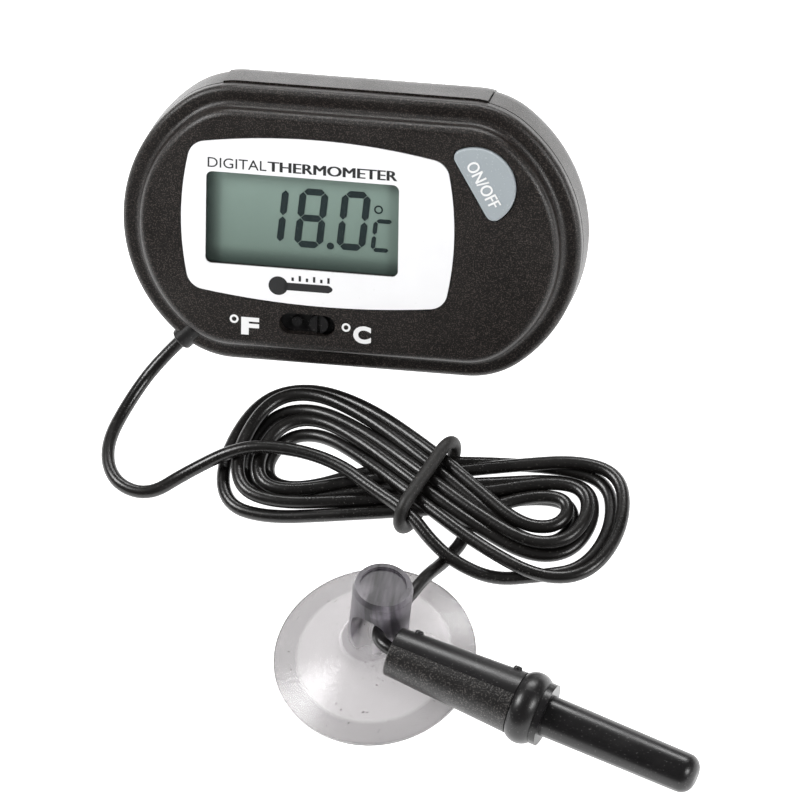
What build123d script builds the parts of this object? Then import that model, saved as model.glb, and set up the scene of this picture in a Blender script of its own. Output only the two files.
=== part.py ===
from build123d import *
from math import cos, radians, sin
import os

# Digital thermometer with a remote probe: a display unit that leans back on a suction cup, a hank
# of thin cord held by a rubber ring, a clear suction cup threaded on the cord, and the probe.
# Millimetres, +Z up, standing on z = 0.

# ---- driving dimensions ----
unit_w = 64.0            # display unit, width
unit_h = 39.6            # display unit, height along its face
end_u = 19.5             # where the bulging ends meet the straight edges
corner_round = 12.0
front_depth = 4.2        # seam to face
back_depth = 9.6         # seam to back
back_round = 5.5
wall = 1.6
seam = 0.24              # dark gap between the two shells
lean = radians(51.3)     # between the face and the table
shoulder = 2.7           # side of the raised face, in from the outline
rim_top = 1.9
face_inside = 2.7
cavity_inset = 3.8

window_w = 26.9
window_h = 13.35
window_u = -6.4
window_v = 1.45

button_u = 17.7
button_v = 8.9
button_r = 5.6
button_cut = 0.8         # straight side, from the button's centre
button_turn = -59.8      # direction of the straight side, degrees
button_travel = 0.6

slot_u = -5.5
slot_v = -13.1
slot_w = 7.8
slot_h = 3.0

door_half = 18.4
door_v = 4.55
door_gap = 0.15
cell_r = 5.8
cell_t = 5.4
cell_v = 9.75
cell_u = 6.4

rear_cup_r = 11.0
rear_cup_t = 6.2         # rim of the rear cup behind the back
keyhole_drop = 6.0

cord_d = 1.85
cord_r = cord_d / 2
gland_r = 1.6
gland_w = 0.7            # height of the cord's axis above the seam
screw_points = [(-24.9, 2.0), (24.5, -4.5), (10.0, -15.1)]

unit_y = -2.382
unit_z = (unit_h / 2 - back_round) * sin(lean) + (back_depth - back_round) * cos(lean) + back_round

unit = Plane(origin=(0, unit_y, unit_z), x_dir=(1, 0, 0), z_dir=(0, -sin(lean), cos(lean)))
face_axis = Axis(unit.origin, unit.z_dir)
up_axis = Axis(unit.origin, unit.y_dir)
os.makedirs("parts", exist_ok=True)


def finish(piece, name):
    """Labels a finished piece and writes its file."""
    piece.part.label = name
    export_step(piece.part, f"parts/{name}.step")


# ---- shapes that several pieces share ----
def body_outline(inset=0.0, taller=0.0):
    """Straight top and bottom, bulging ends, softened corners."""
    half_w = unit_w / 2
    half_h = unit_h / 2 + taller
    with BuildSketch() as shape:
        with BuildLine():
            ThreePointArc((end_u, half_h), (half_w, 0), (end_u, -half_h))
            Line((end_u, -half_h), (-end_u, -half_h))
            ThreePointArc((-end_u, -half_h), (-half_w, 0), (-end_u, half_h))
            Line((-end_u, half_h), (end_u, half_h))
        make_face()
        fillet(shape.vertices(), radius=corner_round)
        if inset:
            offset(amount=-inset, mode=Mode.REPLACE)
    return shape.sketch


def button_shape(grow=0.0):
    """A little more than half a disc, its straight side running down to the right."""
    with BuildSketch() as shape:
        with Locations((button_u, button_v)):
            Circle(button_r)
            with Locations(Rotation(0, 0, button_turn)):
                with Locations((0, -button_r - button_cut)):
                    Rectangle(4 * button_r, 2 * button_r, mode=Mode.SUBTRACT)
        fillet(shape.vertices(), radius=1.2)
        if grow:
            offset(amount=grow, mode=Mode.REPLACE)
    return shape.sketch


def label_shape(grow=0.0):
    """Bulging rounded rectangle around the window."""
    with BuildSketch() as shape:
        with BuildLine():
            ThreePointArc((-22.0, 12.1), (-5.5, 13.7), (13.6, 11.8))
            ThreePointArc((13.6, 11.8), (14.8, 2.0), (13.5, -9.2))
            ThreePointArc((13.5, -9.2), (-3.0, -10.35), (-22.0, -8.8))
            ThreePointArc((-22.0, -8.8), (-23.3, 1.5), (-22.0, 12.1))
        make_face()
        if grow:
            offset(amount=grow, kind=Kind.INTERSECTION, mode=Mode.REPLACE)
        fillet(shape.vertices(), radius=2.6 + grow)
    return shape.sketch


def back_form(inset, depth, rounding, taller=0.0):
    """Solid of the rear half of the body, from the seam to its rounded back."""
    outline = body_outline(inset, taller)
    with BuildPart() as form:
        with BuildSketch(unit.offset(-seam / 2)):
            add(outline)
        extrude(amount=-(depth - seam / 2))
        fillet(form.faces().sort_by(face_axis)[0].edges(), radius=rounding)
    return form.part


outer_outline = body_outline()
shoulder_outline = body_outline(shoulder)
wall_outline = body_outline(wall)
cavity_outline = body_outline(cavity_inset)
gland_point = unit.from_local_coords((-23.5, -17.7, gland_w))
gland_out = (unit.from_local_coords((-0.70, -0.714, 0)) - unit.origin).normalized()
gland_plane = Plane(origin=gland_point, x_dir=unit.z_dir, z_dir=gland_out)

# ---- display unit: shells ----
with BuildPart() as front_shell:
    with BuildSketch(unit.offset(seam / 2)):
        add(outer_outline)
    extrude(amount=rim_top - seam / 2)
    fillet(front_shell.faces().sort_by(face_axis)[-1].edges(), radius=0.9)
    with BuildSketch(unit.offset(1.2)):
        add(shoulder_outline)
    extrude(amount=front_depth - 1.2)
    fillet(front_shell.faces().sort_by(face_axis)[-1].edges(), radius=1.1)
    step_face = front_shell.faces().filter_by(unit.offset(0)).sort_by(face_axis)[-2]
    fillet(step_face.inner_wires()[0].edges(), radius=1.0)
    with BuildSketch(unit.offset(seam / 2)):
        add(wall_outline)
    extrude(amount=1.0, mode=Mode.SUBTRACT)
    with BuildSketch(unit.offset(seam / 2)):
        add(cavity_outline)
    extrude(amount=face_inside - seam / 2, mode=Mode.SUBTRACT)
    # screw bosses
    with BuildSketch(unit.offset(-1.3)):
        with Locations(*screw_points):
            Circle(2.0)
    extrude(amount=face_inside + 1.3)
    with BuildSketch(unit.offset(-1.3)):
        with Locations(*screw_points):
            Circle(0.95)
    extrude(amount=3.0, mode=Mode.SUBTRACT)
    # window, lens rebate, label recess
    with BuildSketch(unit.offset(face_inside)):
        with Locations((window_u, window_v)):
            RectangleRounded(window_w, window_h, 0.9)
        with Locations((slot_u, slot_v)):
            SlotOverall(slot_w, slot_h)
        add(button_shape(0.16))
    extrude(amount=front_depth, mode=Mode.SUBTRACT)
    with BuildSketch(unit.offset(face_inside)):
        with Locations((window_u, window_v)):
            RectangleRounded(window_w + 2.2, window_h + 2.2, 1.2)
    extrude(amount=0.65, mode=Mode.SUBTRACT)
    with BuildSketch(unit.offset(front_depth - 0.3)):
        add(label_shape(0.12))
    extrude(amount=1.0, mode=Mode.SUBTRACT)
    # hole for the cord's gland
    with BuildSketch(gland_plane.offset(-5)):
        Circle(gland_r + 0.02)
    extrude(amount=8, mode=Mode.SUBTRACT)
finish(front_shell, "front_shell")

rear_cup_v = rear_cup_r - (unit_z - (back_depth + rear_cup_t) * cos(lean)) / sin(lean)
door_top = unit_h / 2 + 2
with BuildPart() as back_shell:
    add(back_form(0, back_depth, back_round))
    add(back_form(wall, back_depth - 1.4, back_round - 1.6), mode=Mode.SUBTRACT)
    # opening for the battery door
    with BuildSketch(unit.offset(-back_depth - 1)):
        with Locations((0, (door_v - door_gap + door_top) / 2)):
            Rectangle(2 * (door_half + door_gap), door_top - door_v + door_gap)
    extrude(amount=back_depth + 1, mode=Mode.SUBTRACT)
    # lip that stands inside the front shell
    with BuildSketch(unit.offset(-3.0)):
        add(body_outline(wall))
        add(body_outline(wall + 0.8), mode=Mode.SUBTRACT)
    extrude(amount=3.0 - seam / 2)
    with BuildSketch(unit.offset(-0.4)):
        add(body_outline(wall + 0.12))
        add(body_outline(wall + 0.8), mode=Mode.SUBTRACT)
    extrude(amount=1.4)
    # battery tray: floor and two side walls
    with BuildSketch(unit.offset(-2.0)):
        with Locations((0, 10.7)):
            Rectangle(36.4, 13.6)
    extrude(amount=0.6)
    with BuildSketch(unit.offset(-8.1)):
        with Locations((-17.8, 9.8), (17.8, 9.8)):
            Rectangle(0.8, 10.4)
    extrude(amount=6.5)
    # pocket and keyhole for the rear suction cup
    with BuildSketch(unit.offset(-back_depth + 1.2)):
        with Locations((0, -4.2)):
            Rectangle(11.0, 15.9)
    extrude(amount=3.9)
    with BuildSketch(unit.offset(-back_depth + 1.4)):
        with Locations((0, rear_cup_v)):
            Circle(4.1)
        with Locations((0, rear_cup_v - keyhole_drop)):
            Circle(4.3)
        with Locations((0, rear_cup_v - keyhole_drop / 2)):
            Rectangle(8.2, keyhole_drop)
    extrude(amount=2.7, mode=Mode.SUBTRACT)
    with BuildSketch(unit.offset(-back_depth)):
        with Locations((0, rear_cup_v)):
            Circle(2.9)
        with Locations((0, rear_cup_v - keyhole_drop)):
            Circle(4.3)
        with Locations((0, rear_cup_v - keyhole_drop / 2)):
            Rectangle(5.8, keyhole_drop)
    extrude(amount=1.5, mode=Mode.SUBTRACT)
    # screw posts, counterbored from the back
    with BuildSketch(unit.offset(-back_depth + 1.3)):
        with Locations(*screw_points):
            Circle(2.4)
    extrude(amount=back_depth - 1.3 - 1.4)
    with BuildSketch(unit.offset(-back_depth - 1)):
        with Locations(*screw_points):
            Circle(1.85)
    extrude(amount=3.2, mode=Mode.SUBTRACT)
    with BuildSketch(unit.offset(-back_depth - 1)):
        with Locations(*screw_points):
            Circle(1.1)
    extrude(amount=back_depth + 1, mode=Mode.SUBTRACT)
    with BuildSketch(gland_plane.offset(-5)):
        Circle(gland_r + 0.02)
    extrude(amount=8, mode=Mode.SUBTRACT)
finish(back_shell, "back_shell")

with BuildPart() as battery_door:
    add(back_form(0, back_depth, back_round, 0.25))
    add(back_form(wall, back_depth - 1.4, back_round - 1.6), mode=Mode.SUBTRACT)
    with BuildSketch(unit.offset(-back_depth - 1)):
        with Locations((0, (door_v + door_top) / 2)):
            Rectangle(2 * door_half, door_top - door_v)
    extrude(amount=back_depth + 1 - seam / 2, mode=Mode.INTERSECT)
    # room for the shell's inner lip
    with BuildSketch(unit.offset(-3.2)):
        add(body_outline(wall - 0.15))
    extrude(amount=4.0, mode=Mode.SUBTRACT)
    # two thumb ridges on the back
    with BuildSketch(unit.offset(-back_depth + 0.1)):
        with Locations((0, 7.4), (0, 9.0), (0, 10.6)):
            SlotOverall(11.0, 0.8)
    extrude(amount=-0.5)
finish(battery_door, "battery_door")

# ---- display unit: face ----
with BuildPart() as face_label:
    with BuildSketch(unit.offset(front_depth - 0.28)):
        add(label_shape())
        with Locations((window_u, window_v)):
            RectangleRounded(window_w, window_h, 0.9, mode=Mode.SUBTRACT)
    extrude(amount=0.24)
finish(face_label, "face_label")

with BuildPart() as display_lens:
    with BuildSketch(unit.offset(face_inside + 0.02)):
        with Locations((window_u, window_v)):
            RectangleRounded(window_w + 2.0, window_h + 2.0, 1.1)
    extrude(amount=0.6)
finish(display_lens, "display_lens")

# ---- display unit: liquid crystal display ----
glass_w = 31.0
glass_h = 17.0
with BuildPart() as lcd_front_glass:
    with BuildSketch(unit.offset(1.72)):
        with Locations((window_u, window_v)):
            Rectangle(glass_w, glass_h)
    extrude(amount=0.9)
    chamfer(lcd_front_glass.edges().filter_by(face_axis), length=0.3)
finish(lcd_front_glass, "lcd_front_glass")

with BuildPart() as lcd_rear_glass:
    with BuildSketch(unit.offset(0.78)):
        with Locations((window_u, window_v + 1.1)):
            Rectangle(glass_w, glass_h - 2.2)
    extrude(amount=0.9)
    chamfer(lcd_rear_glass.edges().filter_by(face_axis), length=0.3)
finish(lcd_rear_glass, "lcd_rear_glass")

with BuildPart() as lcd_reflector:
    with BuildSketch(unit.offset(0.52)):
        with Locations((window_u, window_v + 1.1)):
            Rectangle(glass_w - 1.0, glass_h - 3.0)
    extrude(amount=0.22)
finish(lcd_reflector, "lcd_reflector")

with BuildPart() as lcd_frame:
    with BuildSketch(unit.offset(-0.26)):
        with Locations((window_u, window_v)):
            RectangleRounded(glass_w + 1.7, glass_h + 1.7, 0.8)
            Rectangle(glass_w + 0.3, glass_h + 0.3, mode=Mode.SUBTRACT)
    extrude(amount=2.7)
finish(lcd_frame, "lcd_frame")

with BuildPart() as zebra_strip:
    with BuildSketch(unit.offset(-0.28)):
        with Locations((window_u, window_v - glass_h / 2 + 0.95)):
            RectangleRounded(glass_w - 5.0, 1.5, 0.3)
    extrude(amount=1.98)
finish(zebra_strip, "zebra_strip")

# ---- display unit: circuit board and what is on it ----
board_back = -1.1
board_front = -0.3
with BuildPart() as circuit_board:
    with BuildSketch(unit.offset(board_back)):
        with Locations((0.25, -1.0)):
            RectangleRounded(43.5, 28.6, 1.5)
        with Locations(screw_points[2]):
            Circle(2.5, mode=Mode.SUBTRACT)
        with Locations((-20.5, -14.3)):
            Circle(4.4, mode=Mode.SUBTRACT)
        with Locations((-19.0, 11.5), (20.0, -12.5)):
            Circle(0.6, mode=Mode.SUBTRACT)
    extrude(amount=board_front - board_back)
finish(circuit_board, "circuit_board")

with BuildPart() as chip_blob:
    with BuildSketch(unit.offset(board_back - 0.02)):
        with Locations((-1.0, -7.0)):
            Circle(3.9)
    extrude(amount=-1.2)
    fillet(chip_blob.faces().sort_by(face_axis)[0].edges(), radius=0.9)
finish(chip_blob, "chip_blob")

with BuildPart() as clock_crystal:
    crystal_plane = Plane(origin=unit.from_local_coords((9.0, -6.0, -2.2)), x_dir=unit.x_dir, z_dir=unit.y_dir)
    with BuildSketch(crystal_plane):
        Circle(1.0)
    extrude(amount=5.6)
    fillet(clock_crystal.faces().sort_by(up_axis)[-1].edges(), radius=0.4)
finish(clock_crystal, "clock_crystal")

with BuildPart() as board_components:
    with BuildSketch(unit.offset(board_back - 0.02)):
        with Locations((-10.5, -3.0), (-10.5, -6.0), (-10.5, -9.0), (14.0, -9.5)):
            Rectangle(2.0, 1.25)
        with Locations((14.5, -2.5)):
            Rectangle(3.2, 1.6)
    extrude(amount=-0.7)
finish(board_components, "board_components")

# ---- display unit: controls ----
with BuildPart() as power_button:
    with BuildSketch(unit.offset(2.5)):
        add(button_shape())
    extrude(amount=2.15)
    fillet(power_button.faces().sort_by(face_axis)[-1].edges(), radius=0.35)
    with BuildSketch(unit.offset(1.7)):
        add(button_shape(0.7))
    extrude(amount=0.85)
    with BuildSketch(unit.offset(0.9)):
        with Locations((button_u + 1.4, button_v + 0.8)):
            Circle(1.3)
    extrude(amount=0.9)
finish(power_button, "power_button")

with BuildPart() as button_dome:
    with BuildSketch(unit.offset(board_front + 0.02)):
        with Locations((button_u + 1.4, button_v + 0.8)):
            Circle(2.5)
    extrude(amount=0.5)
    fillet(button_dome.faces().sort_by(face_axis)[-1].edges(), radius=0.35)
finish(button_dome, "button_dome")

knob_u = -3.97
pip_u = -7.1
with BuildPart() as unit_switch_knob:
    with BuildSketch(unit.offset(1.75)):
        with Locations((-5.2, slot_v)):
            RectangleRounded(10.0, 4.4, 0.8)
    extrude(amount=0.8)
    with BuildSketch(unit.offset(2.5)):
        with Locations((knob_u, slot_v)):
            Circle(1.3)
    extrude(amount=1.2)
    with BuildSketch(unit.offset(2.5)):
        with Locations((pip_u, slot_v)):
            Circle(0.7)
    extrude(amount=0.7)
    with BuildSketch(unit.offset(3.3)):
        with Locations((knob_u, slot_v)):
            Rectangle(0.45, 3.0)
    extrude(amount=1.0, mode=Mode.SUBTRACT)
    with BuildSketch(unit.offset(0.05)):
        with Locations((-5.2, slot_v)):
            Rectangle(3.0, 1.6)
    extrude(amount=1.8)
finish(unit_switch_knob, "unit_switch_knob")

with BuildPart() as switch_wiper:
    with BuildSketch(unit.offset(board_front + 0.06)):
        with Locations((-5.2, slot_v)):
            RectangleRounded(4.4, 2.4, 0.5)
            Rectangle(0.5, 1.4, mode=Mode.SUBTRACT)
    extrude(amount=0.22)
finish(switch_wiper, "switch_wiper")

# ---- display unit: power ----
for side, name in ((-1, "button_cell_left"), (1, "button_cell_right")):
    with BuildPart() as button_cell:
        with BuildSketch(unit.offset(-7.7)):
            with Locations((side * cell_u, cell_v)):
                Circle(cell_r)
        extrude(amount=cell_t)
        fillet(button_cell.faces().sort_by(face_axis)[0].edges(), radius=0.5)
        with BuildSketch(unit.offset(-2.3)):
            with Locations((side * cell_u, cell_v)):
                Circle(cell_r)
                Circle(cell_r - 1.0, mode=Mode.SUBTRACT)
        extrude(amount=-0.25, mode=Mode.SUBTRACT)
    finish(button_cell, name)

for side, name in ((-1, "contact_positive"), (1, "contact_negative")):
    with BuildPart() as contact:
        with BuildSketch(unit.offset(-2.25)):
            with Locations((side * cell_u, cell_v)):
                RectangleRounded(8.0, 9.0, 1.2)
            with Locations((side * (cell_u + 5.2), cell_v + 2.0)):
                RectangleRounded(5.0, 2.0, 0.6)
        extrude(amount=0.2)
    finish(contact, name)

with BuildPart() as contact_bridge:
    with BuildSketch(unit.offset(-8.12)):
        with Locations((0, cell_v)):
            RectangleRounded(20.0, 6.0, 1.4)
            with Locations((-6.4, 0), (6.4, 0)):
                SlotOverall(4.6, 1.2, mode=Mode.SUBTRACT)
    extrude(amount=0.3)
finish(contact_bridge, "contact_bridge")

# ---- display unit: screws and rear suction cup ----
with BuildPart() as case_screws:
    with BuildSketch(unit.offset(-back_depth + 2.2)):
        with Locations(*screw_points):
            Circle(1.75)
    extrude(amount=-1.3)
    with BuildSketch(unit.offset(-back_depth + 2.1)):
        with Locations(*screw_points):
            Circle(0.9)
    extrude(amount=8.6)
    with BuildSketch(unit.offset(-back_depth + 0.9)):
        for screw_at in screw_points:
            with Locations(screw_at):
                Rectangle(2.0, 0.45)
                Rectangle(0.45, 2.0)
    extrude(amount=0.6, mode=Mode.SUBTRACT)
finish(case_screws, "case_screws")

rear_cup_at = unit.from_local_coords((0, rear_cup_v, -back_depth))
rear_cup_plane = Plane(origin=rear_cup_at, x_dir=unit.x_dir, z_dir=unit.y_dir)
with BuildPart() as rear_suction_cup:
    with BuildSketch(rear_cup_plane):
        with BuildLine():
            Polyline((0, -3.7), (3.2, -3.7), (3.9, -3.2), (3.9, -2.3), (2.75, -1.6), (2.75, 0.9))
            Spline((2.75, 0.9), (4.2, 1.6), (8.2, 3.0), (rear_cup_r, rear_cup_t - 0.5), tangents=[(0, 1), (0.6, 1)])
            Line((rear_cup_r, rear_cup_t - 0.5), (rear_cup_r - 0.5, rear_cup_t))
            Spline((rear_cup_r - 0.5, rear_cup_t), (7.0, 4.2), (0, 3.0), tangents=[(-0.6, -0.8), (-1, 0)])
            Line((0, 3.0), (0, -3.7))
        make_face()
    revolve(axis=Axis(rear_cup_at, unit.z_dir))
finish(rear_suction_cup, "rear_suction_cup")

# ---- cord: gland, lead, hank, tie, tail ----
with BuildPart() as cord_gland:
    with BuildSketch(gland_plane.offset(-3.2)):
        Circle(gland_r)
        Circle(cord_r + 0.03, mode=Mode.SUBTRACT)
    extrude(amount=3.7)
    fillet(cord_gland.faces().sort_by(Axis(gland_point, gland_out))[-1].edges().sort_by(SortBy.RADIUS)[-1], radius=0.3)
finish(cord_gland, "cord_gland")


def cord_tube(points, name):
    """A tube along straight runs joined by arcs as large as the runs allow; prints the arcs' radii."""
    corners = [Vector(*point) for point in points]
    radii = []
    for before, corner, after in zip(corners, corners[1:], corners[2:]):
        into = corner - before
        out = after - corner
        half_turn = radians(into.get_angle(out) / 2)
        radii.append(0.45 * min(into.length, out.length) * cos(half_turn) / sin(half_turn))
    print(name, "radii", [round(radius, 1) for radius in radii])
    with BuildPart() as tube:
        with BuildLine() as path:
            FilletPolyline(*corners, radius=radii)
        with BuildSketch(Plane(origin=path.line @ 0, z_dir=path.line % 0)):
            Circle(cord_r)
        sweep()
    length = sum(edge.length for edge in path.line.edges())
    print(name, "length", round(length, 1), "volume ratio", tube.part.volume / (length * 3.14159 * cord_r**2))
    finish(tube, name)


lead_start = gland_point - gland_out * 3.0
lead_bend = gland_point + gland_out * 4.4
lead_points = [
    (lead_start.X, lead_start.Y, lead_start.Z),
    (lead_bend.X, lead_bend.Y, lead_bend.Z),
    (-30.4, -22.28, 1.3),
    (-32.5, -29.48, 0.98),
    (-30.4, -35.08, 0.98),
    (-25.2, -36.78, 0.98),
    (-20.6, -32.98, 1.5),
    (-13.0, -29.88, 4.8),
    (-6.0, -29.68, 5.0),
    (0.9, -31.38, 4.9),
    (6.5, -35.08, 4.8),
]
cord_tube(lead_points, "cord_lead")

hank_x = 12.6
hank_y = -32.78
hank_turn = -7.0
hank_plane = Plane(origin=(hank_x, hank_y, 0), x_dir=(cos(radians(hank_turn)), sin(radians(hank_turn)), 0),
                   z_dir=(0, 0, 1))
lobe_at = 18.3
lobe_long = 12.4
lobe_wide = 10.9
waist_r = 6.9
with BuildPart() as cord_hank:
    with BuildSketch(hank_plane.offset(0.02)):
        for side in (-1, 1):
            with BuildSketch(mode=Mode.PRIVATE) as lobe:
                with Locations((side * lobe_at, 0)):
                    Ellipse(lobe_long, lobe_wide)
                Circle(waist_r)
                make_hull()
            add(lobe.sketch)
        with Locations((-20.0, 0), (20.0, 0)):
            Ellipse(5.0, 1.8, mode=Mode.SUBTRACT)
    extrude(amount=3.6)
    with BuildSketch(hank_plane.offset(0.02)):
        with Locations((0, 0)):
            RectangleRounded(21.0, 2 * waist_r, 4.0)
    extrude(amount=5.9)
finish(cord_hank, "cord_hank")

tie_x = 13.5
tie_y = -33.1
tie_turn = radians(67)
tie_section = 1.8
tie_w = 14.2             # width of the ring along its middle
tie_h = 5.8
tie_plane = Plane(origin=(tie_x, tie_y, tie_section / 2 + tie_h / 2 + 0.03),
                  x_dir=(cos(tie_turn), sin(tie_turn), 0), z_dir=(sin(tie_turn), -cos(tie_turn), 0))
with BuildPart() as hank_tie:
    with BuildLine(tie_plane) as ring:
        Line((-tie_w / 2 + tie_h / 2, tie_h / 2), (tie_w / 2 - tie_h / 2, tie_h / 2))
        RadiusArc((tie_w / 2 - tie_h / 2, tie_h / 2), (tie_w / 2 - tie_h / 2, -tie_h / 2), tie_h / 2)
        Line((tie_w / 2 - tie_h / 2, -tie_h / 2), (-tie_w / 2 + tie_h / 2, -tie_h / 2))
        RadiusArc((-tie_w / 2 + tie_h / 2, -tie_h / 2), (-tie_w / 2 + tie_h / 2, tie_h / 2), tie_h / 2)
    with BuildSketch(Plane(origin=ring.line @ 0, z_dir=ring.line % 0)):
        Circle(tie_section / 2)
    sweep()
finish(hank_tie, "hank_tie")

probe_end = Vector(14.1, -62.85, 9.3)
probe_tip = Vector(57.1, -75.0, 2.85)
probe_dir = (probe_tip - probe_end).normalized()

tail_points = [
    (19.4, -39.68, 1.0),
    (17.2, -43.68, 1.3),
    (15.7, -48.28, 4.9),
    (14.6, -52.48, 6.9),
    (12.6, -56.7, 7.8),
    (11.3, -59.65, 8.7),
]
tail_end = probe_end + probe_dir * 1.4
tail_mid = probe_end - probe_dir * 1.6
cord_tube(tail_points + [(tail_mid.X, tail_mid.Y, tail_mid.Z), (tail_end.X, tail_end.Y, tail_end.Z)], "cord_tail")

# ---- suction cup threaded on the cord ----
cup_x = 10.0
cup_y = -58.95
cup_r = 13.9
neck_r = 4.1
neck_tilt = radians(14)      # the cord pulls the neck over
neck_azimuth = radians(52)
neck_dir = Vector(sin(neck_tilt) * cos(neck_azimuth), sin(neck_tilt) * sin(neck_azimuth), cos(neck_tilt))
hole_azimuth = radians(70.5)
hole_tilt = radians(-16)
hole_dir = Vector(cos(hole_tilt) * cos(hole_azimuth), cos(hole_tilt) * sin(hole_azimuth), sin(hole_tilt))
cup_centre = Vector(cup_x, cup_y, 0)
hole_at = cup_centre + neck_dir * 8.4
cup_profile = Plane(origin=cup_centre, x_dir=(1, 0, 0), z_dir=(0, -1, 0))
neck_plane = Plane(origin=cup_centre, z_dir=neck_dir)
with BuildPart() as suction_cup:
    with BuildSketch(cup_profile):
        with BuildLine():
            Polyline((0, 3.0), (0, 6.0), (3.9, 6.0))
            Spline((3.9, 6.0), (5.2, 4.5), (9.0, 2.6), (cup_r, 0.75), tangents=[(0.2, -1), (1, -0.35)])
            Line((cup_r, 0.75), (cup_r - 0.15, 0.02))
            Line((cup_r - 0.15, 0.02), (cup_r - 0.9, 0.02))
            Spline((cup_r - 0.9, 0.02), (8.0, 1.4), (0, 3.0), tangents=[(-1, 0.4), (-1, 0)])
        make_face()
    revolve(axis=Axis(cup_centre, (0, 0, 1)))
    with BuildSketch(neck_plane.offset(4.2)):
        Circle(neck_r + 0.1)
    with BuildSketch(neck_plane.offset(9.0)):
        Circle(neck_r)
    with BuildSketch(neck_plane.offset(14.6)):
        Circle(neck_r + 0.05)
    loft()
    with BuildSketch(neck_plane.offset(14.6)):
        Circle(neck_r + 0.05)
    with BuildSketch(neck_plane.offset(15.5)):
        Circle(neck_r - 0.25)
    loft()
    with BuildSketch(neck_plane.offset(15.1)):
        Circle(3.2)
    extrude(amount=1.0, mode=Mode.SUBTRACT)
    with BuildSketch(Plane(origin=hole_at, z_dir=hole_dir)):
        Circle(2.5)
    extrude(amount=7.0, both=True, mode=Mode.SUBTRACT)
    # flared mouth, where the cord folds over into the probe
    with BuildSketch(Plane(origin=hole_at - hole_dir * 2.4, z_dir=-hole_dir)):
        Circle(2.5)
    with BuildSketch(Plane(origin=hole_at - hole_dir * 5.4, z_dir=-hole_dir)):
        Circle(4.0)
    loft(mode=Mode.SUBTRACT)
finish(suction_cup, "suction_cup")

# ---- probe: two half sleeves, collar, rod, sensor ----
probe_axis = Axis(probe_end, probe_dir)
probe_side = probe_dir.cross(Vector(0, 0, 1)).normalized()
probe_up = probe_side.cross(probe_dir).normalized()
probe_plane = Plane(origin=probe_end, x_dir=probe_dir, z_dir=probe_side)


def along_probe(distance):
    """Plane across the probe at a distance from its cord end."""
    return Plane(origin=probe_end + probe_dir * distance, x_dir=probe_side, z_dir=probe_dir)


split_turn = radians(12.8)   # the seam's place, from the probe's top towards the front
split_up = probe_up * sin(split_turn) - probe_side * cos(split_turn)
sleeve_length = 18.4
sleeve_r = 3.45
sleeve_r_end = 4.4
pip_dir = probe_up * cos(radians(58)) - probe_side * sin(radians(58))
for name, keep in (("probe_sleeve_upper", Keep.TOP), ("probe_sleeve_lower", Keep.BOTTOM)):
    sign = 1 if keep == Keep.TOP else -1
    with BuildPart() as sleeve:
        with BuildSketch(probe_plane):
            with BuildLine():
                Polyline((0.5, cord_r + 0.06), (0.5, 1.5), (0, 2.1), (0, 3.3), (0.15, sleeve_r))
                Polyline((0.15, sleeve_r), (sleeve_length, sleeve_r_end), (sleeve_length, 2.36), (10.0, 2.36),
                         (10.0, 1.6), (4.5, 1.6), (4.5, cord_r + 0.06), (0.5, cord_r + 0.06))
            make_face()
        revolve(axis=probe_axis)
        split(bisect_by=Plane(origin=probe_end + split_up * 0.02 * sign, z_dir=split_up), keep=keep)
        if keep == Keep.TOP:
            for along, surface_r in ((2.5, 3.57), (16.9, 4.32)):
                pip_base = probe_end + probe_dir * along + pip_dir * (surface_r - 0.7)
                with BuildSketch(Plane(origin=pip_base, z_dir=pip_dir)):
                    Circle(0.62)
                extrude(amount=1.1)
                pip_top = sleeve.faces().sort_by(Axis(pip_base, pip_dir))[-1]
                fillet(pip_top.edges(), radius=0.3)
    finish(sleeve, name)

with BuildPart() as probe_collar:
    with BuildSketch(probe_plane):
        with BuildLine():
            Line((sleeve_length + 0.03, 2.38), (sleeve_length + 0.03, 4.3))
            ThreePointArc((sleeve_length + 0.03, 4.3), (20.2, 5.1), (22.0, 4.35))
            Polyline((22.0, 4.35), (22.0, 2.38), (sleeve_length + 0.03, 2.38))
        make_face()
    revolve(axis=probe_axis)
finish(probe_collar, "probe_collar")

rod_end = (probe_tip - probe_end).length
tip_r = 2.75
with BuildPart() as probe_rod:
    with BuildSketch(along_probe(10.6)):
        Circle(2.3)
    extrude(amount=22.05 - 10.6)
    with BuildSketch(along_probe(22.05)):
        Circle(4.4)
    extrude(amount=0.95)
    with BuildSketch(along_probe(23.0)):
        Circle(2.9)
    with BuildSketch(along_probe(rod_end)):
        Circle(tip_r)
    loft()
    fillet(probe_rod.faces().sort_by(probe_axis)[-1].edges(), radius=1.9)
    with BuildSketch(along_probe(10.6)):
        Circle(1.7)
    extrude(amount=19.4, mode=Mode.SUBTRACT)
    with BuildSketch(along_probe(30.0)):
        Circle(1.4)
    extrude(amount=rod_end - 1.6 - 30.0, mode=Mode.SUBTRACT)
finish(probe_rod, "probe_rod")

with BuildPart() as thermistor_bead:
    with BuildSketch(probe_plane):
        with BuildLine():
            ThreePointArc((rod_end - 4.8, 0), (rod_end - 3.6, 1.0), (rod_end - 2.4, 0))
            Line((rod_end - 2.4, 0), (rod_end - 4.8, 0))
        make_face()
    revolve(axis=probe_axis)
finish(thermistor_bead, "thermistor_bead")

with BuildPart() as thermistor_leads:
    with BuildSketch(along_probe(5.2)):
        with Locations((-0.5, 0), (0.5, 0)):
            Circle(0.25)
    extrude(amount=rod_end - 5.2 - 4.9)
finish(thermistor_leads, "thermistor_leads")

with BuildPart() as wire_seal:
    with BuildSketch(along_probe(12.0)):
        Circle(1.66)
        with Locations((-0.5, 0), (0.5, 0)):
            Circle(0.28, mode=Mode.SUBTRACT)
    extrude(amount=8.0)
finish(wire_seal, "wire_seal")

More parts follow.
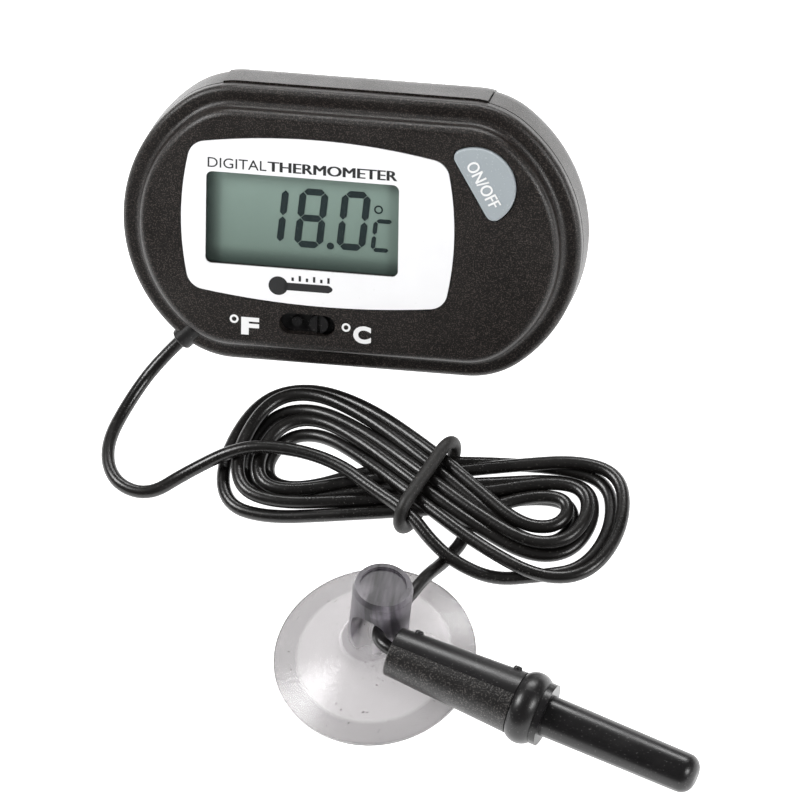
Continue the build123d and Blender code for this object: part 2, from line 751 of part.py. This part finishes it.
# ---- wires from the gland to the board ----
with BuildPart() as sensor_wires:
    wire_from = gland_point - gland_out * 3.6
    for pad in ((-19.0, -8.6), (-17.2, -8.6)):
        pad_at = unit.from_local_coords((pad[0], pad[1], board_front + 0.35))
        bend_at = unit.from_local_coords((pad[0] - 0.9, pad[1] - 3.4, 0.35))
        start_at = wire_from + unit.x_dir * (0.35 if pad[0] > -18 else -0.35)
        with BuildLine() as wire_path:
            Polyline(start_at, bend_at, pad_at)
        with BuildSketch(Plane(origin=start_at, z_dir=wire_path.line % 0)):
            Circle(0.26)
        sweep(transition=Transition.ROUND)
finish(sensor_wires, "sensor_wires")
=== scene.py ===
from math import atan2, cos, pi, radians, sin, tau

import bmesh
import bpy
from mathutils import Matrix, Quaternion, Vector


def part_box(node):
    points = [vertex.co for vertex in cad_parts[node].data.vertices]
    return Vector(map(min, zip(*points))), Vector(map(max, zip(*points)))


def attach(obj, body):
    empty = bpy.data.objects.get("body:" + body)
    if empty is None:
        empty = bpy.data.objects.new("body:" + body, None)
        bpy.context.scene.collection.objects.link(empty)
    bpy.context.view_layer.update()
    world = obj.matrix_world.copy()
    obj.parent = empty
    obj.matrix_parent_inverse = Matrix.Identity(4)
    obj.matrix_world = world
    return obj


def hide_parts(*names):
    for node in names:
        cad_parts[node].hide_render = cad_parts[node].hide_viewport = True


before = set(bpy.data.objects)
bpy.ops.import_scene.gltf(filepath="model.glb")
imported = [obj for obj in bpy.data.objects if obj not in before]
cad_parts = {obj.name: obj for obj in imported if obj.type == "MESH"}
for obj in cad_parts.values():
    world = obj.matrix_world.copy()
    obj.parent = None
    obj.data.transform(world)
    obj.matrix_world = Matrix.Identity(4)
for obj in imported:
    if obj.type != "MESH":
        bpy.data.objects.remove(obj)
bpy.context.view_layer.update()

MM = 0.001


def centre(node):
    low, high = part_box(node)
    return (low + high) / 2


# ---- the display unit's own axes: u to the right, v up the face, w out of the face, in millimetres ----
LEAN = radians(51.3)
WINDOW = (-6.4, 1.45)                # the window's centre
LENS_W = 3.02                        # height of the lens's middle above the seam
FACE_W = 4.2                         # height of the raised face above the seam
LABEL_W = 4.16
GLASS_W = 2.62                       # front of the display's glass
U = Vector((1, 0, 0))
V = Vector((0, cos(LEAN), sin(LEAN)))
W = Vector((0, -sin(LEAN), cos(LEAN)))
ORIGIN = centre("display_lens") - (U * WINDOW[0] + V * WINDOW[1] + W * LENS_W) * MM
UNIT = Matrix.Translation(ORIGIN) @ Matrix((U, V, W)).transposed().to_4x4() @ Matrix.Scale(MM, 4)

# ---- materials ----


def new_material(name):
    """A material with its principled shader, and short ways to add and link nodes."""
    mat = bpy.data.materials.new(name)
    mat.use_nodes = True
    tree = mat.node_tree
    shader = tree.nodes["Principled BSDF"]

    def node(kind, inputs=None, **settings):
        made = tree.nodes.new("ShaderNode" + kind)
        for key, value in settings.items():
            setattr(made, key, value)
        for key, value in (inputs or {}).items():
            if isinstance(value, bpy.types.NodeSocket):
                tree.links.new(value, made.inputs[key])
            else:
                made.inputs[key].default_value = value
        return made

    def set_shader(**values):
        for key, value in values.items():
            socket = shader.inputs[key.replace("_", " ")]
            if isinstance(value, bpy.types.NodeSocket):
                tree.links.new(value, socket)
            else:
                socket.default_value = value

    return mat, node, set_shader


def grain(node, size_mm, detail=2.0, offset=0.0):
    """Noise with lumps of a real size, in object coordinates."""
    place = node("TexCoord").outputs["Object"]
    moved = node("Mapping", {"Vector": place, "Location": (offset, offset, offset)}).outputs["Vector"]
    return node("TexNoise", {"Vector": moved, "Scale": 1 / (size_mm * MM), "Detail": detail}).outputs["Fac"]


def ramp(node, fac, low, high):
    """Stretches fac so that low is 0 and high is 1."""
    return node("MapRange", {"Value": fac, "From Min": low, "From Max": high}).outputs["Result"]


def mix(node, fac, a, b):
    made = node("Mix", data_type="RGBA")
    made.id_data.links.new(fac, made.inputs["Factor"])
    for key, value in ((6, a), (7, b)):
        if isinstance(value, bpy.types.NodeSocket):
            made.id_data.links.new(value, made.inputs[key])
        else:
            made.inputs[key].default_value = (*value, 1)
    return made.outputs[2]


def moulded(name, colour, worn, speck_and_sparkle, grain_mm, bump_mm, rough=(0.4, 0.6), speck_from=0.66, **shader):
    """Moulded plastic or rubber: a spark-eroded or satin skin, cloudy handling marks and fine specks; on the black
    shell the light specks are painted sparkle of its grain.
    """
    mat, node, set_shader = new_material(name)
    fine = grain(node, grain_mm, 3.0)
    cloud = grain(node, 7.0, 4.0, 0.31)
    dots = grain(node, grain_mm * 0.8, 0.0, 0.57)
    base = mix(node, ramp(node, cloud, 0.3, 0.75), colour, worn)
    base = mix(node, ramp(node, dots, speck_from, speck_from + 0.08), base, speck_and_sparkle)
    rough_map = node("MapRange", {"Value": cloud, "From Min": 0.3, "From Max": 0.7,
                                  "To Min": rough[0], "To Max": rough[1]}).outputs["Result"]
    bump = node("Bump", {"Height": fine, "Distance": bump_mm * MM, "Strength": 1.0}).outputs["Normal"]
    set_shader(Base_Color=base, Roughness=rough_map, Normal=bump, **shader)
    return mat


def metal(name, colour, grain_mm=0.4, rough=(0.22, 0.4)):
    """Plated or brushed metal with faint handling marks."""
    mat, node, set_shader = new_material(name)
    fine = grain(node, grain_mm, 4.0)
    rough_map = node("MapRange", {"Value": fine, "From Min": 0.3, "From Max": 0.7,
                                  "To Min": rough[0], "To Max": rough[1]}).outputs["Result"]
    base = mix(node, ramp(node, fine, 0.3, 0.8), colour, [0.8 * c for c in colour])
    set_shader(Base_Color=base, Roughness=rough_map, Metallic=1.0)
    return mat


def clear(name, tint, neck_tint, neck_from, rough, ior, clearness):
    """Clear vinyl with waves, creases and sparse specks; above neck_from, in millimetres, it is greyer and frosted;
    below 0.85 mm it is darker, a painted shade along the lip where it meets the floor.
    """
    mat, node, set_shader = new_material(name)
    height = node("SeparateXYZ", {"Vector": node("TexCoord").outputs["Object"]}).outputs["Z"]
    waves = grain(node, 3.0, 2.0)
    creases = grain(node, 0.5, 4.0, 0.21)
    dots = grain(node, 0.42, 0.0, 0.43)
    thick = ramp(node, height, neck_from * MM, (neck_from + 3) * MM)
    # painted shade along the lip where the cup meets the floor: darker below 0.85 mm
    lip_shade = ramp(node, height, 0.85 * MM, 0.7 * MM)
    drawn = node("Mapping", {"Vector": node("TexCoord").outputs["Object"], "Rotation": (0, 0, radians(25)),
                             "Scale": (750, 90, 90)}).outputs["Vector"]
    stripes = node("TexNoise", {"Vector": drawn, "Scale": 1.0, "Detail": 2.0}).outputs["Fac"]
    streaks = mix(node, ramp(node, stripes, 0.42, 0.62), neck_tint, [0.25 * c for c in neck_tint])
    base = mix(node, ramp(node, creases, 0.45, 0.85), tint, [0.93 * c for c in tint])
    base = mix(node, lip_shade, base, [0.5 * c for c in tint])
    base = mix(node, thick, base, streaks)
    base = mix(node, ramp(node, dots, 0.82, 0.84), base, (0.05, 0.045, 0.04))
    height_map = node("Math", {0: waves, 1: creases}, operation="ADD").outputs[0]
    bump = node("Bump", {"Height": height_map, "Distance": 0.06 * MM, "Strength": 1.0}).outputs["Normal"]
    rough_map = node("MapRange", {"Value": thick, "To Min": rough, "To Max": rough + 0.22}).outputs["Result"]
    set_shader(Base_Color=base, Roughness=rough_map, Normal=bump, Transmission_Weight=clearness, IOR=ior)
    return mat


def film(name, colour, alpha, rough):
    """Thin clear window, faintly milky."""
    mat, node, set_shader = new_material(name)
    haze = grain(node, 2.5, 3.0)
    base = mix(node, haze, colour, [0.94 * c for c in colour])
    rough_map = node("MapRange", {"Value": haze, "To Min": rough * 0.7, "To Max": rough * 1.3}).outputs["Result"]
    set_shader(Base_Color=base, Roughness=rough_map, Alpha=alpha)
    return mat


def ink(name, colour, rough=0.5, shine=0.5):
    """Printed ink, slightly uneven."""
    mat, node, set_shader = new_material(name)
    patchy = grain(node, 0.25, 2.0)
    base = mix(node, patchy, colour, [0.82 * c + 0.01 for c in colour])
    set_shader(Base_Color=base, Roughness=rough, Specular_IOR_Level=shine)
    return mat


def display_glass():
    """Grey-green reflective display, lighter towards the top, with a painted shadow of the window's frame darkening
    its left and lower edges.
    """
    mat, node, set_shader = new_material("display_glass")
    place = node("TexCoord").outputs["Object"]
    across, up, _ = (node("SeparateXYZ", {"Vector": place}).outputs[i] for i in range(3))
    # masks for the painted shadow of the window's frame along the display's left and lower edges
    left, low = (node("MapRange", {"Value": value, "From Min": start, "From Max": end},
                      interpolation_type="SMOOTHSTEP").outputs["Result"]
                 for value, start, end in ((across, -19.9, -17.6), (up, -5.3, -2.6)))
    outside_frame_shadow = node("Math", {0: left, 1: low}, operation="MULTIPLY").outputs[0]
    fade = node("MapRange", {"Value": up, "From Min": -4.0, "From Max": 8.0}).outputs["Result"]
    face = mix(node, fade, (0.15, 0.21, 0.18), (0.21, 0.285, 0.25))
    # the dark colour is the painted shadow of the window's frame
    base = mix(node, outside_frame_shadow, (0.045, 0.068, 0.058), face)
    set_shader(Base_Color=base, Roughness=0.28)
    return mat


# black shell: its light specks are painted sparkle of the spark-eroded grain
black_shell = moulded("black_shell", (0.0030, 0.0022, 0.0017), (0.0052, 0.0038, 0.0030), (0.048, 0.039, 0.035),
                      0.19, 0.050, (0.34, 0.42), 0.58, Specular_IOR_Level=0.42)
white_film = moulded("white_film", (0.86, 0.86, 0.87), (0.82, 0.82, 0.83), (0.80, 0.80, 0.80), 0.5, 0.001,
                     (0.30, 0.36), 0.8)
button_grey = moulded("button_grey", (0.33, 0.365, 0.385), (0.30, 0.335, 0.355), (0.40, 0.43, 0.45), 0.3, 0.008,
                      (0.38, 0.48), 0.72)
satin_black = moulded("satin_black", (0.005, 0.005, 0.0055), (0.009, 0.0085, 0.0085), (0.05, 0.048, 0.046), 0.3,
                      0.010, (0.30, 0.42), 0.72, Specular_IOR_Level=0.35)
tie_black = moulded("tie_black", (0.008, 0.0075, 0.007), (0.016, 0.0145, 0.0135), (0.06, 0.055, 0.05), 0.22, 0.018,
                    (0.48, 0.62), 0.7, Specular_IOR_Level=0.4)
cord_black = moulded("cord_black", (0.0035, 0.0032, 0.0030), (0.0070, 0.0062, 0.0058), (0.04, 0.038, 0.035), 0.30,
                     0.022, (0.24, 0.34), 0.72, Specular_IOR_Level=0.42)
probe_black = moulded("probe_black", (0.0045, 0.0042, 0.0045), (0.0090, 0.0082, 0.0085), (0.055, 0.053, 0.053), 0.3,
                      0.008, (0.28, 0.40), 0.73, Specular_IOR_Level=0.38)
probe_grained = moulded("probe_grained", (0.0060, 0.0054, 0.0052), (0.0110, 0.0100, 0.0095), (0.060, 0.055, 0.052),
                        0.26, 0.070, (0.34, 0.46), 0.60, Specular_IOR_Level=0.45)
cup_vinyl = clear("cup_vinyl", (0.53, 0.515, 0.52), (0.165, 0.152, 0.175), 4.5, 0.14, 1.30, 0.72)
rear_vinyl = clear("rear_vinyl", (0.60, 0.585, 0.60), (0.60, 0.585, 0.60), 100, 0.14, 1.36, 0.8)
lens_clear = film("lens_clear", (0.30, 0.32, 0.32), 0.02, 0.06)
board_green = moulded("board_green", (0.012, 0.085, 0.030), (0.016, 0.11, 0.04), (0.30, 0.24, 0.10), 0.8, 0.01,
                      (0.3, 0.4), 0.72)
frame_black = moulded("frame_black", (0.02, 0.02, 0.02), (0.03, 0.03, 0.03), (0.06, 0.06, 0.06), 0.3, 0.006)
epoxy_black = moulded("epoxy_black", (0.008, 0.008, 0.008), (0.012, 0.012, 0.012), (0.02, 0.02, 0.02), 2.0, 0.03,
                      (0.1, 0.2), 0.8)
zebra_pink = moulded("zebra_pink", (0.55, 0.20, 0.26), (0.60, 0.26, 0.30), (0.12, 0.1, 0.1), 0.25, 0.01)
chip_tan = moulded("chip_tan", (0.30, 0.24, 0.17), (0.36, 0.29, 0.2), (0.6, 0.6, 0.6), 0.4, 0.004)
resin_tan = moulded("resin_tan", (0.22, 0.18, 0.13), (0.26, 0.21, 0.15), (0.3, 0.26, 0.2), 1.0, 0.02)
wire_red = moulded("wire_red", (0.35, 0.02, 0.015), (0.42, 0.03, 0.02), (0.5, 0.1, 0.08), 0.4, 0.004)
steel = metal("steel", (0.62, 0.62, 0.60))
nickel = metal("nickel", (0.72, 0.70, 0.66), 0.3, (0.12, 0.25))
brass = metal("brass", (0.72, 0.55, 0.27))
black_ink = ink("black_ink", (0.012, 0.012, 0.013))
white_ink = ink("white_ink", (0.86, 0.86, 0.86))
segment_ink = ink("segment_ink", (0.004, 0.014, 0.015), 0.5, 0.1)

MATERIALS = {
    black_shell: ("front_shell", "back_shell", "battery_door"),
    white_film: ("face_label",),
    button_grey: ("power_button",),
    satin_black: ("unit_switch_knob", "cord_gland"),
    tie_black: ("hank_tie",),
    cord_black: ("cord_lead", "cord_hank", "cord_tail"),
    probe_black: ("probe_sleeve_upper", "probe_collar", "probe_rod"),
    probe_grained: ("probe_sleeve_lower",),
    cup_vinyl: ("suction_cup",),
    rear_vinyl: ("rear_suction_cup",),
    lens_clear: ("display_lens",),
    board_green: ("circuit_board",),
    frame_black: ("lcd_frame", "button_dome"),
    epoxy_black: ("chip_blob", "thermistor_bead"),
    zebra_pink: ("zebra_strip",),
    chip_tan: ("board_components",),
    resin_tan: ("wire_seal",),
    wire_red: ("sensor_wires",),
    steel: ("button_cell_left", "button_cell_right", "case_screws", "thermistor_leads", "lcd_reflector"),
    nickel: ("contact_positive", "contact_negative", "contact_bridge", "clock_crystal"),
    brass: ("switch_wiper",),
}
for mat, nodes in MATERIALS.items():
    for name in nodes:
        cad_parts[name].data.materials.clear()
        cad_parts[name].data.materials.append(mat)

# ---- helpers for pieces ----


def show(name, mesh, mat, body, place=UNIT):
    """Links a mesh as a piece in its place, on a body."""
    obj = bpy.data.objects.new(name, mesh)
    bpy.context.scene.collection.objects.link(obj)
    mesh.materials.clear()
    mesh.materials.append(mat)
    obj.matrix_world = place
    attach(obj, body)
    return obj


def plates(outlines, low, high):
    """Flat plates between two heights, one for each outline."""
    bm = bmesh.new()
    for outline in outlines:
        face = bm.faces.new([bm.verts.new((x, y, high)) for x, y in outline])
        if face.normal.z < 0:
            face.normal_flip()
        made = bmesh.ops.extrude_face_region(bm, geom=[face])
        for vert in made["geom"]:
            if isinstance(vert, bmesh.types.BMVert):
                vert.co.z = low
    bmesh.ops.recalc_face_normals(bm, faces=bm.faces)
    mesh = bpy.data.meshes.new("plates")
    bm.to_mesh(mesh)
    bm.free()
    return mesh


COPY_LIFT = 0.0006           # keeps the faces of thickened letters apart


def text_mesh(words, width, height, bold=0.0, depth=0.02, thicken=0.0):
    """Lettering centred on the origin, stretched to a width and cap height; thicken adds copies to both sides."""
    curve = bpy.data.curves.new("words", "FONT")
    curve.body = words
    curve.align_x = "CENTER"
    curve.extrude = depth / 2
    curve.offset = bold
    curve.resolution_u = 4
    holder = bpy.data.objects.new("words", curve)
    bpy.context.scene.collection.objects.link(holder)
    bpy.context.view_layer.update()
    mesh = bpy.data.meshes.new_from_object(holder)
    bpy.data.objects.remove(holder)
    xs = [v.co.x for v in mesh.vertices]
    ys = [v.co.y for v in mesh.vertices]
    middle = Vector(((min(xs) + max(xs)) / 2, (min(ys) + max(ys)) / 2, 0))
    stretch = ((width - 2 * thicken) / (max(xs) - min(xs)), height / (max(ys) - min(ys)), 1)
    mesh.transform(Matrix.Diagonal((*stretch, 1)) @ Matrix.Translation(-middle))
    if thicken:
        bm = bmesh.new()
        bm.from_mesh(mesh)
        for sideways in (-thicken, 2 * thicken):
            mesh.transform(Matrix.Translation((sideways, 0, COPY_LIFT)))
            bm.from_mesh(mesh)
        bm.to_mesh(mesh)
        bm.free()
    return mesh


def lettering(name, words, at, width, height, mat, body, level, bold=0.0, turn=0.0, depth=0.02, thicken=0.0):
    mesh = text_mesh(words, width, height, bold, depth, thicken)
    mesh.transform(Matrix.Translation((at[0], at[1], level)) @ Matrix.Rotation(turn, 4, "Z"))
    return show(name, mesh, mat, body)


def ring_outline(x, y, outer, inner, count=32):
    """Quads of a flat ring."""
    def point(radius, i):
        return (x + radius * cos(tau * i / count), y + radius * sin(tau * i / count))
    return [[point(outer, i), point(outer, i + 1), point(inner, i + 1), point(inner, i)] for i in range(count)]


def disc(x, y, radius, count=32):
    return [(x + radius * cos(tau * i / count), y + radius * sin(tau * i / count)) for i in range(count)]


# ---- display: glass, segments ----
glass_outline = [(WINDOW[0] + sx * 15.4, WINDOW[1] + sy * 8.4) for sx, sy in ((-1, -1), (1, -1), (1, 1), (-1, 1))]
screen = show("display_screen", plates([glass_outline], 1.73, GLASS_W), display_glass(), "unit")
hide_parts("lcd_front_glass")

SLANT = 0.10                 # the digits lean to the right
STROKE = 0.95
DIGIT_W, DIGIT_H = 4.0, 8.6


def segment(x, y, length, upright, stroke=STROKE):
    """One bar of a digit, with mitred ends."""
    half = length / 2
    cut = stroke / 2
    bar = [(-half, 0), (-half + cut, cut), (half - cut, cut), (half, 0), (half - cut, -cut), (-half + cut, -cut)]
    if upright:
        bar = [(y_, x_) for x_, y_ in bar][::-1]
    return [(x + px, y + py) for px, py in bar]


SEGMENTS = {"a": (0, 1, 0), "g": (0, 0, 0), "d": (0, -1, 0), "f": (-1, 0.5, 1), "b": (1, 0.5, 1),
            "e": (-1, -0.5, 1), "c": (1, -0.5, 1)}


def digit(x, y, outside_frame_shadow, width=DIGIT_W, height=DIGIT_H, stroke=STROKE, gap=0.16):
    """The lit bars of a seven-segment digit, slanted."""
    bars = []
    half_w = (width - stroke) / 2
    half_h = (height - stroke) / 2
    for key in outside_frame_shadow:
        dx, dy, upright = SEGMENTS[key]
        length = (half_h if upright else 2 * half_w) - gap
        bars.append(segment(dx * half_w, dy * half_h, length, upright, stroke))
    return [[(x + px + SLANT * py, y + py) for px, py in bar] for bar in bars]


bars = digit(-10.9, 1.9, "bc") + digit(-5.4, 1.85, "abcdefg") + digit(0.5, 1.95, "abcdef")
bars += digit(4.56, 0.1, "adef", 2.9, 4.8, 0.6)
bars += [disc(-2.7, -1.95, 0.5)] + ring_outline(3.95, 3.85, 0.62, 0.40)
show("display_segments", plates(bars, GLASS_W + 0.01, GLASS_W + 0.05), segment_ink, "unit")

# ---- printing on the label and the shell ----
lettering("label_word_light", "DIGITAL", (-15.55, 9.43), 8.2, 1.45, black_ink, "unit", LABEL_W + 0.012)
lettering("label_word_bold", "THERMOMETER", (-2.25, 9.43), 18.1, 1.45, black_ink, "unit", LABEL_W + 0.012,
          thicken=0.085)
PICTO = (-6.2, -7.75)
picto = [[(PICTO[0] + x, PICTO[1] + y) for x, y in outline] for outline in (
    [(-2.6, -0.55), (3.6, -0.55), (4.05, -0.3), (4.2, 0), (4.05, 0.3), (3.6, 0.55), (-2.6, 0.55)],
    *[[(x - 0.16, 0.85), (x + 0.16, 0.85), (x + 0.16, 0.85 + tall), (x - 0.16, 0.85 + tall)]
      for x, tall in ((-1.4, 0.5), (-0.4, 0.8), (0.6, 0.5), (1.6, 0.8), (2.6, 0.5), (3.6, 0.8))],
    disc(-3.4, 0, 1.35, 40))]
show("label_pictogram", plates(picto, LABEL_W + 0.004, LABEL_W + 0.024), black_ink, "unit")
for name, letter, at in (("f", "F", -13.45), ("c", "C", 2.2)):
    lettering("scale_letter_" + name, letter, (at, -13.95), 2.5, 2.55, white_ink, "unit", FACE_W + 0.012,
              bold=0.05)
    degree = plates(ring_outline(at - 2.25, -13.05, 0.62, 0.33), FACE_W + 0.002, FACE_W + 0.022)
    show("scale_degree_" + name, degree, white_ink, "unit")

# ---- lettering in relief on the button ----
BUTTON_TURN = radians(-59.8)
BUTTON = Vector((17.7, 8.9))
across = Vector((cos(BUTTON_TURN), sin(BUTTON_TURN)))
inward = Vector((-across.y, across.x))
text_at = BUTTON + inward * 1.2 + across * 0.2
lettering("button_lettering", "ON/OFF", text_at, 7.1, 1.75, white_ink, "power_button", 4.68, thicken=0.04,
          turn=BUTTON_TURN, depth=0.08)

# ---- cord: lead, hank and tail are one length; the last four lead points are the loose strand ----
CORD_D = 1.85
LEAD = [
    (-30.4, -22.28, 1.3),
    (-32.5, -29.48, 0.98),
    (-30.4, -35.08, 0.98),
    (-25.2, -36.78, 0.98),
    (-20.6, -32.98, 1.5),
    (-13.0, -29.88, 4.8),
    (-6.0, -29.68, 5.0),
    (0.9, -31.38, 4.9),
    (6.5, -35.08, 4.8),
    (12.0, -38.4, 4.9),
    (15.6, -42.2, 4.0),
    (19.2, -44.7, 3.2),
    (24.4, -45.7, 1.2),
]
TAIL = [
    (19.4, -39.68, 1.0),
    (17.2, -43.68, 1.3),
    (15.7, -48.28, 4.9),
    (14.6, -52.48, 6.9),
    (12.6, -56.7, 7.8),
    (11.3, -59.65, 8.7),
]
GLAND = ORIGIN + (U * -23.5 + V * -17.7 + W * 0.7) * MM
GLAND_OUT = (U * -0.70 + V * -0.714).normalized()
PROBE_END = Vector((14.1, -62.85, 9.3)) * MM
PROBE_DIR = (Vector((57.1, -75.0, 2.85)) * MM - PROBE_END).normalized()

HANK = Vector((12.6, -32.78, 0))
HANK_TURN = radians(-7)
TURNS = 5
PER_TURN = 16
LAST_STEPS = 7               # the last turn ends below the right lobe
HANK_LONG = 28.4
HANK_WIDE = 9.6
LANE = 1.95                  # pitch of the strands under the tie
LAYER_Z, LAYER_STEP = 0.95, 1.8      # heights of the two layers in the lobes
TOP_Z, UNDER_Z = 4.7, 2.8            # heights of the two layers under the tie
RIGHT_INSET = (1.0, 0.0, 2.6, 3.4, 4.4, 5.2)     # the first turn slips under the second in the right lobe
SWAY = ((0.0, 0.0), (0.5, -0.4), (-0.4, 0.5), (0.3, 0.4), (-0.3, -0.4), (0.2, 0.2))   # each turn's own place


def hank_route():
    """Figure-of-eight turns, tied at the crossing: over the waist on top, back through it below."""
    along = Vector((cos(HANK_TURN), sin(HANK_TURN), 0))
    side = Vector((-along.y, along.x, 0))
    route = []
    for step in range(2, TURNS * PER_TURN + LAST_STEPS + 1):
        turn, angle = divmod(step / PER_TURN, 1)
        angle *= tau
        right = angle <= pi
        inset = RIGHT_INSET[int(turn)] if right else TURNS - 1 - turn
        reach = HANK_LONG - 1.45 * inset
        width = (HANK_WIDE - 1.25 * inset) / 10
        near = abs(cos(angle)) ** 6
        on_top = cos(angle) > 0
        if on_top:
            lane = (turn + (angle > 1.5 * pi)) - TURNS / 2
        else:
            lane = (TURNS - 1) / 2 - turn
        sway = SWAY[int(turn)]
        x = reach * sin(angle) + sway[0] * sin(angle) ** 2
        y = -(9.5 * sin(2 * angle) - 1.2 * sin(4 * angle)) * width
        if y > 0:
            y *= 1.08 if right else 1.22
        y += near * lane * LANE
        y += sway[1] * sin(angle) ** 2 - 0.12 * x * cos(angle) ** 2
        z = (LAYER_Z + LAYER_STEP * (turn % 2)) * (1 - near) + (TOP_Z if on_top else UNDER_Z) * near
        route.append(HANK + along * x + side * y + Vector((0, 0, z)))
    return route


def cord_curve(name, points, mat, radius):
    """One smooth round cord on a route of control points."""
    curve = bpy.data.curves.new(name, "CURVE")
    curve.dimensions = "3D"
    curve.bevel_depth = radius
    curve.bevel_resolution = 5
    curve.resolution_u = 8
    curve.use_fill_caps = True
    spline = curve.splines.new("NURBS")
    spline.points.add(len(points) - 1)
    for point, at in zip(spline.points, points):
        point.co = (*at, 1)
    spline.order_u = 3
    spline.use_endpoint_u = True
    curve.materials.append(mat)
    obj = bpy.data.objects.new(name, curve)
    bpy.context.scene.collection.objects.link(obj)
    return obj


route = [GLAND - GLAND_OUT * 3.0 * MM, GLAND + GLAND_OUT * 4.4 * MM]
route += [Vector(point) * MM for point in LEAD]
route += [point * MM for point in hank_route()]
route += [Vector(point) * MM for point in TAIL]
route += [PROBE_END - PROBE_DIR * 1.6 * MM, PROBE_END + PROBE_DIR * 1.4 * MM]
cord = cord_curve("sensor_cord", route, cord_black, CORD_D / 2 * MM)
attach(cord, "unit")
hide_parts("cord_lead", "cord_hank", "cord_tail")

# ---- floor, light, camera ----


def floor_material():
    mat, node, set_shader = new_material("floor")
    tone = grain(node, 60.0, 2.0)
    base = mix(node, tone, (0.84, 0.84, 0.84), (0.86, 0.86, 0.86))
    set_shader(Base_Color=base, Roughness=0.9, Emission_Color=(1, 1, 1, 1), Emission_Strength=1.15)
    return mat


FLOOR_HALF = 3000
floor_corners = [(FLOOR_HALF * sx, FLOOR_HALF * sy) for sx, sy in ((-1, -1), (1, -1), (1, 1), (-1, 1))]
floor_mesh = plates([floor_corners], -10, 0)
floor = bpy.data.objects.new("floor", floor_mesh)
floor.matrix_world = Matrix.Scale(MM, 4)
floor_mesh.materials.append(floor_material())
bpy.context.scene.collection.objects.link(floor)

world = bpy.data.worlds.new("studio")
world.use_nodes = True
world.node_tree.nodes["Background"].inputs["Color"].default_value = (1, 1, 1, 1)
world.node_tree.nodes["Background"].inputs["Strength"].default_value = 0.14
bpy.context.scene.world = world
bpy.context.scene.view_settings.view_transform = "Standard"

LIGHT_DISTANCE = 0.6


def soft_light(name, direction, size, power):
    """A softbox that looks at the display unit from a direction."""
    data = bpy.data.lights.new(name, "AREA")
    data.shape = "RECTANGLE"
    data.size, data.size_y = size
    data.energy = power
    light = bpy.data.objects.new(name, data)
    towards = Vector(direction).normalized()
    light.location = ORIGIN + towards * LIGHT_DISTANCE
    light.rotation_mode = "QUATERNION"
    light.rotation_quaternion = towards.to_track_quat("Z", "Y")
    bpy.context.scene.collection.objects.link(light)


soft_light("key_left", (-0.75, -0.05, 0.85), (0.22, 0.22), 3.6)
soft_light("fill_right", (0.85, -0.45, 0.6), (0.18, 0.18), 2.0)
soft_light("top_back", (0.1, 0.85, 0.75), (0.4, 0.14), 3.0)

AZIMUTH = radians(18.97)
ELEVATION = radians(57.7)
ROLL = radians(-11.64)
LENS = 800
PX_PER_MM = 7.30
SENSOR = 36.0
RENDER_WIDTH = 800
distance = LENS * RENDER_WIDTH / (SENSOR * PX_PER_MM) * MM
back = Vector((sin(AZIMUTH) * cos(ELEVATION), -cos(AZIMUTH) * cos(ELEVATION), sin(ELEVATION)))
turn = back.to_track_quat("Z", "Y") @ Quaternion((0, 0, 1), ROLL)
camera_data = bpy.data.cameras.new("camera")
camera_data.lens = LENS
camera_data.sensor_width = SENSOR
camera_data.clip_start = 0.1
camera_data.clip_end = 20.0
camera = bpy.data.objects.new("camera", camera_data)
aim = ORIGIN + (turn @ Vector((6.36, -23.59, 0))) * MM
camera.location = aim + back * distance
camera.rotation_mode = "QUATERNION"
camera.rotation_quaternion = turn
bpy.context.scene.collection.objects.link(camera)
bpy.context.scene.camera = camera
